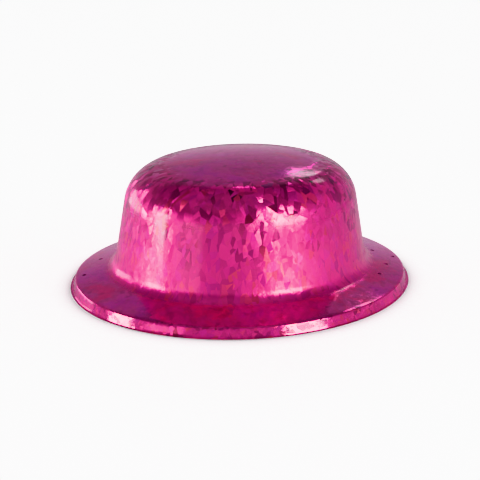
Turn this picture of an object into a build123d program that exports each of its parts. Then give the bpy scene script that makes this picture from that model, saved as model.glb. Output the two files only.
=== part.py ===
from build123d import *
from math import atan2, radians, tan
import os

# A party hat with an oval crown and brim, formed in one go from a plastic sheet that has a
# thin decorative film bonded to its upper face.  Millimetres, +Z up, front towards -Y.
# The origin is the middle of the rim plane, on the surface that the hat stands on.

# Crown
hat_height = 89.0            # rim plane to the top of the dome, outside
crown_foot_width = 177.6     # across the head, outside, where wall and brim would meet sharp
crown_foot_length = 206.0    # front to back, at the same level
wall_lean = 9.1              # degrees that the wall leans inwards
dome_rise = 8.3              # middle of the top above the sharp edge of the top
shoulder_radius = 27.3       # between wall and top
foot_radius = 10.0           # between wall and brim

# Brim, measured across the head
brim_width = 27.2            # sharp foot of the wall to the crease at the lip
brim_drop = 7.1              # fall of the brim over that width
lip_drop = 6.7               # fall of the lip from the crease to the trim flange
lip_flare = 2.0              # how far the lip slants outwards over that fall
crease_radius = 1.5
lip_foot_radius = 0.6
trim_flange = 1.5            # narrow flat edge left where the sheet was cut out

# Layers
sheet_thickness = 0.4
film_thickness = 0.1

# Holes punched down through the brim
hole_diameter = 3.2
right_row_setback = 15.5     # side crease to the line of the right-hand row
right_row_back = 54.6        # rearmost hole of that row, behind the middle of the hat
right_row_pitch = 27.3
right_row_count = 3
inner_hole_offset = 15.2     # inner hole from the rearmost one, straight towards the crown
left_row_setback = 15.0
left_row_front = 49.5        # frontmost hole of the left-hand row, ahead of the middle
left_row_pitch = 34.5
left_row_count = 2

# Worked out from the sizes above
stack = sheet_thickness + film_thickness
plan_ratio = crown_foot_length / crown_foot_width
foot_x = crown_foot_width / 2
crease_x = foot_x + brim_width
lip_foot_x = crease_x + lip_flare
flat_x = lip_foot_x + lip_foot_radius * tan(atan2(lip_drop, lip_flare) / 2)
rim_x = lip_foot_x + trim_flange
crease_z = stack + lip_drop
foot_z = crease_z + brim_drop
shoulder_z = hat_height - dome_rise
shoulder_x = foot_x - (shoulder_z - foot_z) * tan(radians(wall_lean))
spare = 2 * stack            # sheet formed beyond the rim, which the die cuts off


def formed_profile(depth):
    """Filled section across the head, its skin cut back by depth from the outer face."""
    with BuildSketch(Plane.XY, mode=Mode.PRIVATE) as profile:
        with BuildLine():
            flank = FilletPolyline(
                (rim_x + 2 * spare, stack),
                (lip_foot_x, stack),
                (crease_x, crease_z),
                (foot_x, foot_z),
                (shoulder_x, shoulder_z),
                radius=[lip_foot_radius, crease_radius, foot_radius],
            )
            mirror(flank, about=Plane.YZ)
            ThreePointArc((-shoulder_x, shoulder_z), (0, hat_height), (shoulder_x, shoulder_z))
            Polyline(
                (-rim_x - 2 * spare, stack),
                (-rim_x - 2 * spare, -2 * spare),
                (rim_x + 2 * spare, -2 * spare),
                (rim_x + 2 * spare, stack),
            )
        make_face()
        shoulders = profile.vertices().filter_by_position(Axis.Y, shoulder_z - 0.01, shoulder_z + 0.01)
        fillet(shoulders, radius=shoulder_radius)
        if depth > 0:
            offset(amount=-depth, kind=Kind.INTERSECTION)
    return profile.sketch


def formed_layer(top_depth, thickness, stock_below=False):
    """One layer of the formed hat before trimming, from top_depth under the outer face.

    stock_below thickens the flange downwards, so that the die leaves a truly flat face to rest on.
    """
    with BuildPart(mode=Mode.PRIVATE) as layer:
        with BuildSketch(Plane.XZ):
            add(formed_profile(top_depth))
            add(formed_profile(top_depth + thickness), mode=Mode.SUBTRACT)
            if stock_below:
                with Locations((flat_x, -spare)):
                    Rectangle(rim_x - flat_x + spare, spare + thickness / 2, align=(Align.MIN, Align.MIN))
            with Locations((0, -spare)):
                Rectangle(
                    rim_x + spare, hat_height + spare, align=(Align.MIN, Align.MIN), mode=Mode.INTERSECT
                )
        revolve(axis=Axis.Z)
        scale(by=(1, plan_ratio, 1))
    return layer.part


def rim_die():
    """Oval of the finished rim on the rim plane: what lies outside or below it is trimmed off."""
    with BuildSketch(Plane.XY, mode=Mode.PRIVATE) as oval:
        Ellipse(rim_x, rim_x * plan_ratio)
    return oval.sketch


def hole_places():
    """Centres of the punched holes, seen from above."""
    right_x = crease_x - right_row_setback
    left_x = left_row_setback - crease_x
    right = [(right_x, right_row_back - i * right_row_pitch) for i in range(right_row_count)]
    left = [(left_x, i * left_row_pitch - left_row_front) for i in range(left_row_count)]
    return right + left + [(right_x - inner_hole_offset, right_row_back)]


def hole_pattern():
    """The punched holes as circles on the rim plane."""
    with BuildSketch(Plane.XY, mode=Mode.PRIVATE) as pattern:
        with Locations(*hole_places()):
            Circle(hole_diameter / 2)
    return pattern.sketch


# Backing sheet: the formed plastic that gives the hat its shape
with BuildPart() as backing_shell:
    add(formed_layer(film_thickness, sheet_thickness, stock_below=True))
    extrude(rim_die(), amount=hat_height, mode=Mode.INTERSECT)
    extrude(hole_pattern(), amount=foot_z + stack, mode=Mode.SUBTRACT)

# Film: the decorative skin bonded all over the sheet's upper face
with BuildPart() as hologram_film:
    add(formed_layer(0, film_thickness))
    extrude(rim_die(), amount=hat_height, mode=Mode.INTERSECT)
    extrude(hole_pattern(), amount=foot_z + stack, mode=Mode.SUBTRACT)

os.makedirs("parts", exist_ok=True)
for name, piece in (("backing_shell", backing_shell), ("hologram_film", hologram_film)):
    piece.part.label = name
    export_step(piece.part, f"parts/{name}.step")
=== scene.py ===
import math

import bmesh
import bpy
from mathutils import Matrix, Vector


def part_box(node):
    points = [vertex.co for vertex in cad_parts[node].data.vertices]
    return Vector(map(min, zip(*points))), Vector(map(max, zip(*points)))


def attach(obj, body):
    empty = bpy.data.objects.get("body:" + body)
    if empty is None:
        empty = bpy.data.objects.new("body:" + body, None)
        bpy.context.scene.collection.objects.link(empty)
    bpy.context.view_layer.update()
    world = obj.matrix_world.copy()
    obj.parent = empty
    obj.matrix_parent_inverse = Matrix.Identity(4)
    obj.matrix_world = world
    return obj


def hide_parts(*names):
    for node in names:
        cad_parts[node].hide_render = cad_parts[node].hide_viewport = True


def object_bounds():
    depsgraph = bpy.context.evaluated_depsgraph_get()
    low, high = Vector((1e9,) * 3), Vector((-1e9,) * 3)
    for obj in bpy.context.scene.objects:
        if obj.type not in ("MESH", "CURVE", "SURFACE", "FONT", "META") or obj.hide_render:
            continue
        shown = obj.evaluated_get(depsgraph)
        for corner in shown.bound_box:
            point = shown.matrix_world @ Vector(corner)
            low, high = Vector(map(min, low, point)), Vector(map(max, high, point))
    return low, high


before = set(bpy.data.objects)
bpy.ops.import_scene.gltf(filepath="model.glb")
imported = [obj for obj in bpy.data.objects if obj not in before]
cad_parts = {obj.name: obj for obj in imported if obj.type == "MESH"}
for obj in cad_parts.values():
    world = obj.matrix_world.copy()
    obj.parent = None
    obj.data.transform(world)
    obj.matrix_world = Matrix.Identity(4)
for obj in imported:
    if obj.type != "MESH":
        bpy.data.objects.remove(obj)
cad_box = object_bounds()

scene = bpy.context.scene
scene.view_settings.view_transform = "Khronos PBR Neutral"


# ---------------------------------------------------------------------------
# Camera: a long lens that looks down by 17 degrees from a little to the wearer's
# left of the front, aimed at the middle of the rim plane and shifted slightly.
# ---------------------------------------------------------------------------
camera_azimuth = math.radians(15.0)
camera_elevation = math.radians(16.9)
camera_distance = 1.152


def towards(azimuth, elevation):
    """Unit vector from the hat towards a compass bearing; azimuth 0 is the front."""
    return Vector((
        math.sin(azimuth) * math.cos(elevation),
        -math.cos(azimuth) * math.cos(elevation),
        math.sin(elevation),
    ))


camera_data = bpy.data.cameras.new("camera")
camera_data.sensor_width = 36.0
camera_data.lens = 120.0
camera_data.shift_x = -0.002
camera_data.shift_y = 0.079
camera = bpy.data.objects.new("camera", camera_data)
camera_back = towards(camera_azimuth, camera_elevation)
camera.location = camera_back * camera_distance
camera.rotation_mode = "QUATERNION"
camera.rotation_quaternion = (-camera_back).to_track_quat("-Z", "Y")
scene.collection.objects.link(camera)
scene.camera = camera


# ---------------------------------------------------------------------------
# Studio: a white table, softboxes to the left, far left and right, a weak broad
# one at the front left and two small ones behind. The film mirrors walls that are
# pale low down and darker above; seen directly, they are plain white.
# ---------------------------------------------------------------------------
floor_radius = 6.0
floor_gap = 0.0002           # keeps the table clear of the face that the hat rests on
floor_glow = 0.12            # light that the table throws on the hat
floor_glow_seen = 1.8        # brightness of the table itself
glow_starts = 0.97           # as a share of the rim's reach; the glow stops under the hat, a painted shadow round its foot
glow_full = 1.13
white = (1.0, 1.0, 1.0, 1.0)
blank_white = (3.0, 3.0, 3.0, 1.0)


def shader_tree(block):
    """The emptied node tree of a material or world, ready to be wired."""
    block.use_nodes = True
    block.node_tree.nodes.clear()
    return block.node_tree


def wire(tree, kind, settings=None, **sockets):
    """Add a shader node; sockets are named with _ for a space and take a value or another output."""
    node = tree.nodes.new(kind)
    for name, value in (settings or {}).items():
        setattr(node, name, value)
    for name, value in sockets.items():
        key = int(name[1:]) if name[0] == "i" and name[1:].isdigit() else name.replace("_", " ")
        if isinstance(value, bpy.types.NodeSocket):
            tree.links.new(value, node.inputs[key])
        else:
            node.inputs[key].default_value = value
    return node


def ramp(tree, factor, stops):
    """A colour ramp; stops are (position, grey or (r, g, b))."""
    node = wire(tree, "ShaderNodeValToRGB", Fac=factor)
    elements = node.color_ramp.elements
    while len(elements) < len(stops):
        elements.new(1.0)
    for element, (position, colour) in zip(elements, stops):
        element.position = position
        rgb = colour if isinstance(colour, tuple) else (colour, colour, colour)
        element.color = (*rgb, 1.0)
    return node.outputs["Color"]


floor_mesh = bpy.data.meshes.new("table_top")
bm = bmesh.new()
bmesh.ops.create_circle(bm, cap_ends=True, segments=96, radius=floor_radius)
bm.to_mesh(floor_mesh)
bm.free()
floor = bpy.data.objects.new("table_top", floor_mesh)
floor.location.z = cad_box[0][2] - floor_gap
scene.collection.objects.link(floor)
table_white = bpy.data.materials.new("table_white")
tree = shader_tree(table_white)
# Painted shadow: the table's glow fades out under and round the hat
footprint = wire(
    tree, "ShaderNodeVectorMath", {"operation": "DIVIDE"},
    i0=wire(tree, "ShaderNodeTexCoord").outputs["Object"],
    i1=(cad_box[1][0], cad_box[1][1], 1.0),
).outputs["Vector"]
from_middle = wire(
    tree, "ShaderNodeVectorMath", {"operation": "LENGTH"}, i0=footprint
).outputs["Value"]
outside_painted_shadow = wire(
    tree, "ShaderNodeMapRange", {"interpolation_type": "SMOOTHSTEP"},
    Value=from_middle, From_Min=glow_starts, From_Max=glow_full,
).outputs["Result"]
seen = wire(tree, "ShaderNodeLightPath").outputs["Is Camera Ray"]
strongest = wire(
    tree, "ShaderNodeMapRange", Value=seen, To_Min=floor_glow, To_Max=floor_glow_seen
).outputs["Result"]
glow = wire(
    tree, "ShaderNodeMath", {"operation": "MULTIPLY"}, i0=strongest, i1=outside_painted_shadow
).outputs["Value"]
paint = wire(
    tree, "ShaderNodeBsdfPrincipled", Base_Color=(0.86, 0.86, 0.87, 1), Roughness=0.6,
    Emission_Color=white, Emission_Strength=glow,
)
wire(tree, "ShaderNodeOutputMaterial", Surface=paint.outputs["BSDF"])
floor_mesh.materials.append(table_white)


def softbox(name, bearing, elevation, distance, width, height, power):
    """A rectangular light that faces the hat; bearing is counted from the camera, to its right."""
    data = bpy.data.lights.new(name, "AREA")
    data.shape = "RECTANGLE"
    data.size = width
    data.size_y = height
    data.energy = power
    lamp = bpy.data.objects.new(name, data)
    direction = towards(camera_azimuth + math.radians(bearing), math.radians(elevation))
    lamp.location = direction * distance
    lamp.rotation_mode = "QUATERNION"
    lamp.rotation_quaternion = direction.to_track_quat("Z", "Y")
    scene.collection.objects.link(lamp)


softbox("softbox_left", -82, 12, 1.3, 0.36, 0.50, 10.8)
softbox("softbox_side", -128, 5, 1.3, 0.60, 0.44, 3.9)
softbox("softbox_fill", -46, 5, 1.5, 0.80, 0.60, 1.5)
softbox("softbox_right", 53, 17, 1.3, 0.54, 0.42, 12.4)
softbox("softbox_back_low", 170, 25, 1.4, 0.13, 0.09, 0.12)
softbox("softbox_back_high", 152, 35, 1.4, 0.20, 0.13, 0.26)

world = bpy.data.worlds.new("studio_walls")
scene.world = world
tree = shader_tree(world)
bearing = wire(tree, "ShaderNodeTexCoord").outputs["Generated"]
height = wire(tree, "ShaderNodeSeparateXYZ", Vector=bearing).outputs["Z"]
ahead = wire(
    tree, "ShaderNodeVectorMath", {"operation": "DOT_PRODUCT"},
    i0=bearing, i1=towards(camera_azimuth, 0.0),
).outputs["Value"]
behind = wire(
    tree, "ShaderNodeMapRange", {"interpolation_type": "SMOOTHSTEP"},
    Value=ahead, From_Min=0.35, From_Max=-0.35, To_Min=0.0, To_Max=1.0,
).outputs["Result"]
front_wall = ramp(tree, height, [
    (0.0, 0.54), (0.28, 0.54), (0.50, 0.16), (0.76, 0.15), (0.86, 0.34), (0.95, 0.33), (1.0, 0.27),
])
back_wall = ramp(tree, height, [
    (0.0, 0.62), (0.30, 0.35), (0.60, 0.31), (0.64, 0.08), (0.88, 0.10), (0.97, 0.27),
])
walls = wire(
    tree, "ShaderNodeMix", {"data_type": "RGBA"}, Factor=behind, i6=front_wall, i7=back_wall
).outputs[2]
seen = wire(tree, "ShaderNodeLightPath").outputs["Is Camera Ray"]
shown = wire(
    tree, "ShaderNodeMix", {"data_type": "RGBA"}, Factor=seen, i6=walls, i7=blank_white
).outputs[2]
background = wire(tree, "ShaderNodeBackground", Color=shown, Strength=1.0)
wire(tree, "ShaderNodeOutputWorld", Surface=background.outputs["Background"])


# ---------------------------------------------------------------------------
# Backing sheet: 0.4 mm of plastic, softened and drawn over an oval form, which
# gives crown, brim, turned-down lip and trim flange in one piece. Only its pale
# underside and its cut edges show.
# ---------------------------------------------------------------------------
film_low, film_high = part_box("hologram_film")
sheet_low, sheet_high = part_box("backing_shell")
rim_reach = film_high[0]
plan_ratio = film_high[1] / film_high[0]
crown_top = film_high[2]
film_thickness = film_high[2] - sheet_high[2]
sheet_thickness = film_low[2] - sheet_low[2]
stack = sheet_thickness + film_thickness

trim_flange = 0.0015
lip_flare = 0.0020
lip_drop = 0.0067
brim_width = 0.0272
brim_drop = 0.0071
wall_lean = math.radians(9.1)
dome_rise = 0.0083
shoulder_radius = 0.0273
foot_radius = 0.0100
crease_radius = 0.0015
lip_foot_radius = 0.0006
hole_radius = 0.0016
hole_segments = 24
punch_length = 0.020
sharp_edge = math.radians(40)
crown_draw = 0.85            # flat length that a unit of the crown's top was drawn from
dome_steps = 14
shoulder_steps = 16
round_steps = 256

lip_foot = Vector((rim_reach - trim_flange, 0, stack))
crease = lip_foot + Vector((-lip_flare, 0, lip_drop))
wall_foot = crease + Vector((-brim_width, 0, brim_drop))
wall_heading = math.pi / 2 - wall_lean
brim_heading = math.atan2(brim_drop, brim_width)
lip_heading = math.atan2(lip_drop, lip_flare)

# Three holes in a row and one inboard of the rearmost on one side, two on the other
right_row_x = crease.x - 0.0155
right_row_back = 0.0546
right_row_pitch = 0.0273
inner_hole_offset = 0.0152
left_row_x = 0.0150 - crease.x
left_row_front = -0.0495
left_row_pitch = 0.0345
hole_places = [(right_row_x, right_row_back - right_row_pitch * i) for i in range(3)]
hole_places += [(left_row_x, left_row_front + left_row_pitch * i) for i in range(2)]
hole_places += [(right_row_x - inner_hole_offset, right_row_back)]


def top_arcs():
    """Radius of the dome, and the angle from upright at which the shoulder takes over from it."""
    edge_height = crown_top - dome_rise
    edge_reach = wall_foot.x - (edge_height - wall_foot.z) * math.tan(wall_lean)
    dome_radius = (edge_reach ** 2 + dome_rise ** 2) / (2 * dome_rise)
    wall_normal = Vector((math.cos(wall_lean), 0, math.sin(wall_lean)))
    off_wall = wall_normal.dot(wall_foot - Vector((0, 0, crown_top - dome_radius)))
    shoulder_start = math.asin((off_wall - shoulder_radius) / (dome_radius - shoulder_radius))
    return dome_radius, shoulder_start - wall_lean


class Pen:
    """Draws the section of the formed sheet outwards from the middle of the crown.

    heading is the slope downwards from level.
    """

    def __init__(self, bm):
        self.bm = bm
        self.tip = bm.verts.new((0, 0, crown_top))
        self.heading = 0.0

    def bend(self, radius, turn, steps):
        """An arc; a positive turn goes down, round a centre inside the hat."""
        side = Vector((math.sin(self.heading), 0, math.cos(self.heading)))
        centre = self.tip.co - side * math.copysign(radius, turn)
        made = bmesh.ops.spin(
            self.bm, geom=[self.tip], cent=centre, axis=(0, 1, 0), angle=turn, steps=steps
        )["geom_last"]
        self.tip = next(v for v in made if isinstance(v, bmesh.types.BMVert))
        self.heading += turn

    def run(self, length, steps):
        """A straight stretch along the heading."""
        step = Vector((math.cos(self.heading), 0, -math.sin(self.heading))) * length / steps
        for _ in range(steps):
            self.tip = bmesh.ops.extrude_vert_indiv(self.bm, verts=[self.tip])["verts"][0]
            self.tip.co += step

    def corner(self, sharp, radius, heading, run_steps, bend_steps):
        """Run towards a sharp corner and round it off on to a new heading."""
        turn = heading - self.heading
        self.run((sharp - self.tip.co).length - radius * math.tan(abs(turn) / 2), run_steps)
        self.bend(radius, turn, bend_steps)


def flat_reaches(section):
    """How far from the middle each point of the section lay on the flat sheet.

    The crown's top was drawn a little and the brim and lip not at all, so the
    shoulder and the wall took up all the rest of the stretch.
    """
    travelled = [0.0]
    for inner, outer in zip(section, section[1:]):
        travelled.append(travelled[-1] + (outer.co - inner.co).length)
    past_shoulder = dome_steps + shoulder_steps
    crown_end = next(
        i for i, vert in enumerate(section) if i > past_shoulder and vert.co.z < wall_foot.z
    )
    top_flat = travelled[dome_steps] * crown_draw
    crown_flat = section[crown_end].co.x
    reaches = []
    for i, along in enumerate(travelled):
        if i <= dome_steps:
            reaches.append(along * crown_draw)
        elif i < crown_end:
            share = (along - travelled[dome_steps]) / (travelled[crown_end] - travelled[dome_steps])
            reaches.append(top_flat + share * (crown_flat - top_flat))
        else:
            reaches.append(crown_flat + along - travelled[crown_end])
    return reaches


def formed_surface():
    """Outer face of the formed sheet as a mesh, with the flat sheet's coordinates as its UV map."""
    bm = bmesh.new()
    reach_layer = bm.verts.layers.float.new("flat_reach")
    dome_radius, shoulder_start = top_arcs()
    pen = Pen(bm)
    pen.bend(dome_radius, shoulder_start, dome_steps)
    pen.bend(shoulder_radius, wall_heading - shoulder_start, shoulder_steps)
    pen.corner(wall_foot, foot_radius, brim_heading, 10, 10)
    pen.corner(crease, crease_radius, lip_heading, 8, 5)
    pen.corner(lip_foot, lip_foot_radius, 0.0, 4, 3)
    pen.run(rim_reach - pen.tip.co.x, 2)
    section = sorted(bm.verts, key=lambda vert: vert.co.x)
    for vert, reach in zip(section, flat_reaches(section)):
        vert[reach_layer] = reach
    bmesh.ops.spin(
        bm, geom=bm.verts[:] + bm.edges[:], cent=(0, 0, 0), axis=(0, 0, 1),
        angle=2 * math.pi, steps=round_steps, use_merge=True,
    )
    bmesh.ops.remove_doubles(bm, verts=bm.verts, dist=1e-6)
    flat_sheet = bm.loops.layers.uv.new("flat_sheet")
    for face in bm.faces:
        face.smooth = True
        for loop in face.loops:
            outward = loop.vert.co.xy
            if outward.length > 1e-6:
                outward = outward.normalized() * loop.vert[reach_layer]
            loop[flat_sheet].uv = (outward.x, outward.y * plan_ratio)
    bmesh.ops.scale(bm, vec=(1, plan_ratio, 1), verts=bm.verts)
    bmesh.ops.recalc_face_normals(bm, faces=bm.faces)
    return bm


# Cut edges of the holes on both layers: painted shade, a dark magenta that makes the holes look dark
hole_edge_painted_shade = bpy.data.materials.new("hole_edge_painted_shade")
tree = shader_tree(hole_edge_painted_shade)
paint = wire(
    tree, "ShaderNodeBsdfPrincipled", Base_Color=(0.34, 0.03, 0.16, 1), Roughness=0.5,
)
wire(tree, "ShaderNodeOutputMaterial", Surface=paint.outputs["BSDF"])


def layer(name, depth, thickness, finish):
    """One punched layer of the hat, its upper face depth under the outer surface."""
    bm = formed_surface()
    bm.normal_update()
    for vert in bm.verts:
        vert.co -= vert.normal * depth
    bmesh.ops.solidify(bm, geom=bm.faces[:], thickness=thickness)
    mesh = bpy.data.meshes.new(name)
    bm.to_mesh(mesh)
    bm.free()
    mesh.materials.append(finish)
    punch = bmesh.new()
    for x, y in hole_places:
        bmesh.ops.create_cone(
            punch, cap_ends=True, segments=hole_segments, radius1=hole_radius,
            radius2=hole_radius, depth=punch_length,
            matrix=Matrix.Translation((x, y, punch_length / 2)),
        )
    punch_mesh = bpy.data.meshes.new("punch")
    punch.to_mesh(punch_mesh)
    punch.free()
    # The cut faces of the holes take the dark magenta painted shade
    punch_mesh.materials.append(hole_edge_painted_shade)
    blank = bpy.data.objects.new(name + "_blank", mesh)
    cutter = bpy.data.objects.new("punch", punch_mesh)
    scene.collection.objects.link(blank)
    scene.collection.objects.link(cutter)
    cut = blank.modifiers.new("holes", "BOOLEAN")
    cut.operation = "DIFFERENCE"
    cut.solver = "EXACT"
    cut.material_mode = "TRANSFER"
    cut.object = cutter
    graph = bpy.context.evaluated_depsgraph_get()
    finished = bpy.data.meshes.new_from_object(blank.evaluated_get(graph), depsgraph=graph)
    finished.name = name
    finished.set_sharp_from_angle(angle=sharp_edge)
    bpy.data.objects.remove(blank)
    bpy.data.objects.remove(cutter)
    piece = bpy.data.objects.new(name, finished)
    scene.collection.objects.link(piece)
    return piece


pale_plastic = bpy.data.materials.new("pale_plastic")
tree = shader_tree(pale_plastic)
place = wire(tree, "ShaderNodeTexCoord").outputs["Object"]
cloud = wire(tree, "ShaderNodeTexNoise", Vector=place, Scale=30.0, Detail=4.0).outputs["Fac"]
grey = ramp(tree, cloud, [(0.3, (0.60, 0.57, 0.60)), (0.7, (0.70, 0.68, 0.70))])
skin = wire(tree, "ShaderNodeTexNoise", Vector=place, Scale=900.0, Detail=2.0).outputs["Fac"]
bump = wire(tree, "ShaderNodeBump", Strength=0.15, Distance=0.0002, Height=skin).outputs["Normal"]
paint = wire(
    tree, "ShaderNodeBsdfPrincipled", Base_Color=grey, Roughness=0.38, Normal=bump, IOR=1.54,
)
wire(tree, "ShaderNodeOutputMaterial", Surface=paint.outputs["BSDF"])

sheet = layer("formed_backing_sheet", film_thickness, sheet_thickness, pale_plastic)
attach(sheet, "root")
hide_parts("backing_shell")


# ---------------------------------------------------------------------------
# Film: a metallised and lacquered film, bonded to the sheet before forming.
# Its embossed facets look like shattered glass: level and glossy on the crown's
# top and the brim, crisp round the shoulder, and drawn out tall on the wall.
# ---------------------------------------------------------------------------
facet_size = 0.0057
wedge_cell_size = 0.0070
wedges_per_cell = 5
broad_share = 0.42           # of the film that is left to the broad shards
facet_lean = 0.55            # strength with which the shards lean
grain_size = 0.0006
grain_tilt = 0.09
patch_size = 0.030

magenta = bpy.data.materials.new("magenta_hologram")
film = layer("magenta_hologram_film", 0.0, film_thickness, magenta)
flat_rim = max(point.vector.x for point in film.data.uv_layers["flat_sheet"].uv)
tree = shader_tree(magenta)
flat = wire(tree, "ShaderNodeUVMap", {"uv_map": "flat_sheet"}).outputs["UV"]
normal = wire(tree, "ShaderNodeNewGeometry").outputs["Normal"]
place = wire(tree, "ShaderNodeTexCoord").outputs["Object"]


def number(operation, first, second=0.0):
    """Result of a sum on two numbers, either of which may come from another node."""
    return wire(
        tree, "ShaderNodeMath", {"operation": operation}, i0=first, i1=second
    ).outputs["Value"]


def vector(operation, first, second):
    """Result of a sum on two vectors, or of a vector and the number that SCALE takes."""
    node = wire(tree, "ShaderNodeVectorMath", {"operation": operation}, i0=first)
    socket = node.inputs["Scale"] if operation == "SCALE" else node.inputs[1]
    if isinstance(second, bpy.types.NodeSocket):
        tree.links.new(second, socket)
    else:
        socket.default_value = second
    return node.outputs["Vector"]


def mixed(factor, first, second, blend="MIX"):
    """Two colours mixed."""
    return wire(
        tree, "ShaderNodeMix", {"data_type": "RGBA", "blend_type": blend},
        Factor=factor, i6=first, i7=second,
    ).outputs[2]


def split(colour):
    """The parts of a random colour, used as separate random numbers."""
    return wire(tree, "ShaderNodeSeparateColor", Color=colour).outputs


def cells(size, turn, shape, offset=(0.0, 0.0, 0.0)):
    """One layer of the shattered pattern, turned and drawn out, and where on it we are."""
    at = wire(
        tree, "ShaderNodeMapping", Vector=flat, Location=offset, Rotation=(0, 0, math.radians(turn)),
        Scale=(shape, 1.0, 1.0),
    ).outputs["Vector"]
    found = wire(
        tree, "ShaderNodeTexVoronoi", {"voronoi_dimensions": "2D"}, Vector=at, Scale=1.0 / size
    ).outputs
    return found, at


def wedges(size, turn, shape, offset):
    """A layer whose cells are split into triangles that meet in the middle, each a random colour."""
    cell, at = cells(size, turn, shape, offset)
    from_centre = wire(
        tree, "ShaderNodeSeparateXYZ", Vector=vector("SUBTRACT", at, cell["Position"])
    ).outputs
    angle = number("ARCTAN2", from_centre["Y"], from_centre["X"])
    share = number("MULTIPLY", angle, wedges_per_cell / (2 * math.pi))
    wedge = number("FLOOR", number("ADD", share, split(cell["Color"])["Red"]))
    return wire(
        tree, "ShaderNodeTexWhiteNoise", {"noise_dimensions": "4D"}, Vector=cell["Color"], W=wedge
    ).outputs["Color"]


# Shards: broad ones, with triangles laid over the rest of the film
broad = cells(facet_size, 25, 1.15)[0]["Color"]
pointed = wedges(wedge_cell_size, -40, 1.2, (0.37, 0.21, 0.0))
shard = mixed(number("GREATER_THAN", split(pointed)["Red"], broad_share), broad, pointed)
parts = split(shard)

# Way from the middle of the flat sheet to its edge at: the crown's top, the edge of the top,
# upper wall, lower wall, fillet, start of the brim, end of the brim, lip
zones = (0.32, 0.42, 0.57, 0.65, 0.74, 0.78, 0.915, 0.935)
round_plan = vector("MULTIPLY", flat, (1.0, 1.0 / plan_ratio, 0.0))
reach = wire(
    tree, "ShaderNodeVectorMath", {"operation": "LENGTH"}, i0=round_plan
).outputs["Value"]
outwards = number("DIVIDE", reach, flat_rim)


def by_zone(*values):
    """A value that changes with how the film was formed, given at each of the zones."""
    return ramp(tree, outwards, list(zip(zones, values)))


# Strength of each shard's darkening by zone; partly painted shade, strongest round the edge of the
# top
contrast = by_zone(0.34, 1.0, 0.62, 0.30, 0.32, 0.32, 0.32, 0.60)
lean = by_zone(0.06, 1.15, 0.66, 0.26, 0.30, 0.07, 0.07, 0.24)
dimple = by_zone(0.03, 0.30, 1.0, 1.0, 1.0, 0.04, 0.04, 0.3)
gloss = by_zone(0.09, 0.12, 0.31, 0.34, 0.31, 0.11, 0.11, 0.12)
level_face = by_zone(1.0, 0.0, 0.0, 0.0, 0.0, 1.0, 1.0, 0.0)

# Relief: shards lean sideways and downwards, and a fine grain makes the wall satin
middle = (0.5, 0.5, 0.5)
sideways = vector("MULTIPLY", vector("SUBTRACT", shard, middle), (0.8, 0.8, 0.0))
down = vector("SCALE", (0.0, 0.0, -1.0), number("POWER", parts["Blue"], 2.0))
leaning = vector("SCALE", vector("ADD", sideways, down), number("MULTIPLY", lean, facet_lean))
grain = wire(
    tree, "ShaderNodeTexVoronoi", {"voronoi_dimensions": "2D"}, Vector=flat, Scale=1.0 / grain_size
).outputs["Color"]
glitter = vector(
    "SCALE", vector("SUBTRACT", grain, middle), number("MULTIPLY", dimple, grain_tilt)
)
turned = vector("ADD", vector("ADD", normal, leaning), glitter)
bent = wire(
    tree, "ShaderNodeVectorMath", {"operation": "NORMALIZE"}, i0=turned
).outputs["Vector"]

# Colour: magenta with a few redder shards, and clouds of plum on the level faces that are partly the
# film's own hologram colour and partly painted sheen; each shard is darkened at random, most round
# the edge of the top, partly as its own tone and partly as painted shade
hue = ramp(tree, parts["Green"], [
    (0.0, (0.84, 0.055, 0.36)),
    (0.25, (0.92, 0.060, 0.33)),
    (0.84, (0.96, 0.070, 0.33)),
    (0.96, (1.0, 0.090, 0.24)),
])
drift = wire(
    tree, "ShaderNodeTexNoise", Vector=place, Scale=1.0 / patch_size, Detail=5.0, Roughness=0.6
).outputs["Fac"]
# Clouds of plum and violet on the level faces: partly the film's hologram colour, partly painted
# sheen
plum_clouds_and_painted_sheen = ramp(tree, drift, [
    (0.39, (0.76, 0.09, 0.47)),
    (0.47, (0.86, 0.11, 0.42)),
    (0.53, (0.74, 0.12, 0.36)),
    (0.61, (0.92, 0.08, 0.27)),
])
# Each shard's darkening, partly its own tone and partly painted shade that follows its lean
shard_tone_and_painted_shade = ramp(tree, parts["Red"], [(0.0, 0.05), (0.45, 0.66), (0.85, 1.0)])
colour = mixed(contrast, mixed(level_face, hue, plum_clouds_and_painted_sheen), shard_tone_and_painted_shade, "MULTIPLY")
paint = wire(
    tree, "ShaderNodeBsdfPrincipled", Base_Color=colour, Metallic=0.80, Roughness=gloss,
    Specular_Tint=(1.0, 0.24, 0.80, 1.0), Normal=bent, Coat_Weight=0.7, Coat_Roughness=0.12,
    Coat_IOR=1.5,
)
wire(tree, "ShaderNodeOutputMaterial", Surface=paint.outputs["BSDF"])
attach(film, "root")
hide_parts("hologram_film")
